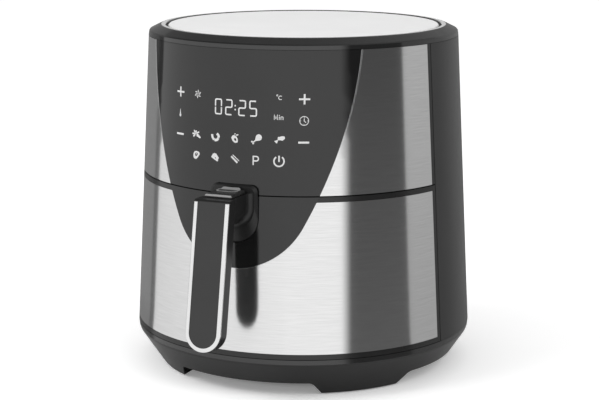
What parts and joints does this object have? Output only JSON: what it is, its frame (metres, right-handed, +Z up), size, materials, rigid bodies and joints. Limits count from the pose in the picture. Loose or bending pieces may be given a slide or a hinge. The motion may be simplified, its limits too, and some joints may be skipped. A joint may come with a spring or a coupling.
{
  "type": "air fryer",
  "caption": "round tapered countertop air fryer with a touch panel, brushed steel front, and a handled drawer holding a pan and a perforated basket under a heater and fan",
  "frame": {"origin": "middle of the footprint on the floor, handle included, at the level of the rubber feet", "axes": "+Z up, -Y towards the front where the drawer slides out, +X to the right seen from the front"},
  "size_m": [0.3006, 0.3598, 0.3034],
  "materials": {
    "black_plastic": "satin moulded black",
    "panel_black": "high gloss dark grey panel",
    "brushed_steel": "horizontally brushed stainless steel",
    "top_silver": "satin pale silver paint",
    "bright_trim": "bright satin plated trim",
    "guard_grey": "glossy grey plastic",
    "insert_grey": "soft dark grey insert",
    "rubber": "matte rubber",
    "sheet_steel": "aluminised sheet steel",
    "nonstick": "dark non-stick coating with fine speckle",
    "heater_sheath": "heat-darkened metal sheath",
    "screw_steel": "zinc-plated steel",
    "fan_aluminium": "pressed aluminium",
    "laminations": "varnished steel laminations",
    "copper": "enamelled copper winding",
    "circuit_board": "green circuit board",
    "component_white": "pale moulded component",
    "component_dark": "dark moulded component",
    "spring_steel": "spring steel strip"
  },
  "bodies": {
    "housing": {"base": "black_plastic", "rubber_feet": "rubber", "base_screws": "screw_steel", "rear_housing": "black_plastic", "exhaust_grille": "black_plastic", "exhaust_duct": "sheet_steel", "cord_gland": "rubber", "top_ring": "black_plastic", "top_disc": "top_silver", "front_frame": "black_plastic", "front_steel_left": "brushed_steel", "front_steel_right": "brushed_steel", "control_panel": "panel_black", "chamber_liner": "sheet_steel", "floor_runners": "sheet_steel", "drawer_bezel": "black_plastic", "drawer_switch": "component_dark", "heater_cup": "sheet_steel", "heater_coil": "heater_sheath", "coil_clips": "sheet_steel", "motor_bracket": "sheet_steel", "motor_stator": "laminations", "motor_winding": "copper", "motor_cap": "sheet_steel", "stator_bolts": "screw_steel", "bracket_screws": "screw_steel", "temperature_probe": "screw_steel", "thermal_cutout": "component_white", "control_board": "circuit_board", "display_module": "component_dark", "power_board": "circuit_board", "power_relay": "component_white", "power_capacitor": "component_dark"},
    "drawer": {"drawer_front": "black_plastic", "drawer_steel": "brushed_steel", "drawer_panel": "panel_black", "pan": "nonstick", "pan_brackets": "sheet_steel", "basket": "nonstick", "basket_tongue": "sheet_steel", "handle_arm": "black_plastic", "handle_front": "black_plastic", "handle_trim": "bright_trim", "handle_insert": "insert_grey", "handle_screws": "screw_steel", "button_spring": "spring_steel"},
    "release_button": {"release_button": "black_plastic"},
    "button_guard": {"button_guard": "guard_grey"},
    "fan": {"fan_shaft": "screw_steel", "convection_fan": "fan_aluminium", "cooling_fan": "fan_aluminium", "motor_rotor": "laminations"}
  },
  "joints": [
    {"name": "drawer_slide", "type": "slide", "parent": "housing", "child": "drawer", "axis": [0, -1, 0], "range_m": [0, 0.27]},
    {"name": "guard_slide", "type": "slide", "parent": "drawer", "child": "button_guard", "axis": [0, -1, 0], "range_m": [0, 0.0125]},
    {"name": "button_press", "type": "slide", "parent": "drawer", "child": "release_button", "axis": [0, 0, -1], "range_m": [0, 0.004], "stiffness_N_per_m": 600, "springref_m": -0.002, "deforming": ["button_spring"]},
    {"name": "fan_spin", "type": "hinge", "parent": "housing", "child": "fan", "pos_m": [0, 0.02744, 0.25], "axis": [0, 0, 1], "continuous": true}
  ]
}
